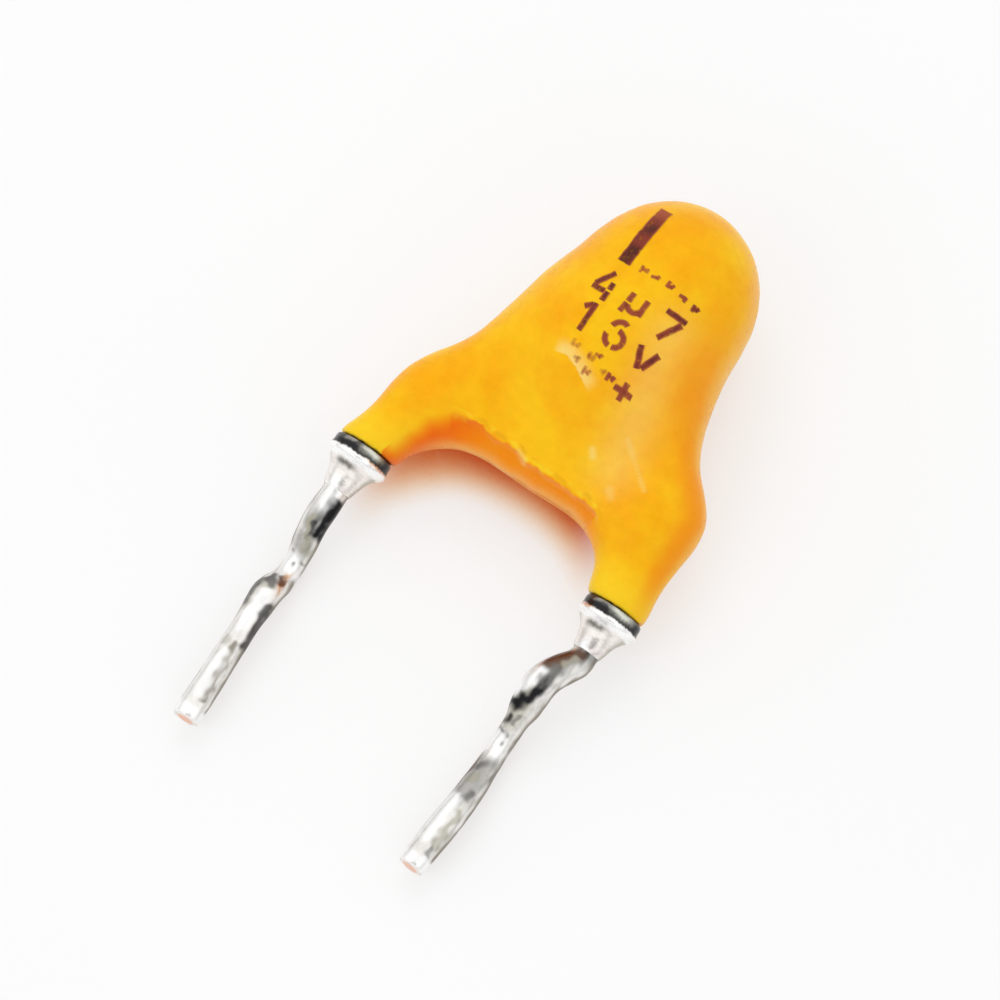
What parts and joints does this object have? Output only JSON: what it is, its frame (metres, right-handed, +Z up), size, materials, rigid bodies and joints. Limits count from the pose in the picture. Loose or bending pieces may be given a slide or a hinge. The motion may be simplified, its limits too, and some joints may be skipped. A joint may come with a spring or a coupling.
{
  "type": "dipped tantalum capacitor",
  "caption": "Radial dipped tantalum bead capacitor with a glossy orange resin coat, solder collars and crimped, cropped wire leads, lying on its back.",
  "frame": {"origin": "under the middle of the part's length, midway between the leads, on the surface that it lies on", "axes": "+X across the leads from negative to positive, +Y from the leads towards the tip of the bead, +Z up from the surface to the printed face"},
  "size_m": [0.0062, 0.012, 0.0033],
  "materials": {
    "resin": "glossy dipped epoxy, orange-yellow, slightly translucent at its rims",
    "sintered_tantalum": "matt porous sintered tantalum",
    "tantalum_wire": "drawn tantalum wire and its weld",
    "white_washer": "matt white fluoropolymer",
    "manganese_dioxide": "matt black, slightly rough",
    "graphite": "matt dark grey",
    "silver_paint": "matt silver paint",
    "solder": "bright tin-lead solder with a soft ripple",
    "tinned_wire": "tinned copper wire, bright, with dull smears and bare copper at the cut ends"
  },
  "bodies": {
    "root": {"resin_coat": "resin", "anode_pellet": "sintered_tantalum", "riser_wire": "tantalum_wire", "riser_washer": "white_washer", "weld_nugget": "tantalum_wire", "manganese_dioxide_layer": "manganese_dioxide", "graphite_layer": "graphite", "silver_layer": "silver_paint", "cathode_solder": "solder", "positive_lead": "tinned_wire", "negative_lead": "tinned_wire", "positive_solder_collar": "solder", "negative_solder_collar": "solder"}
  },
  "joints": []
}
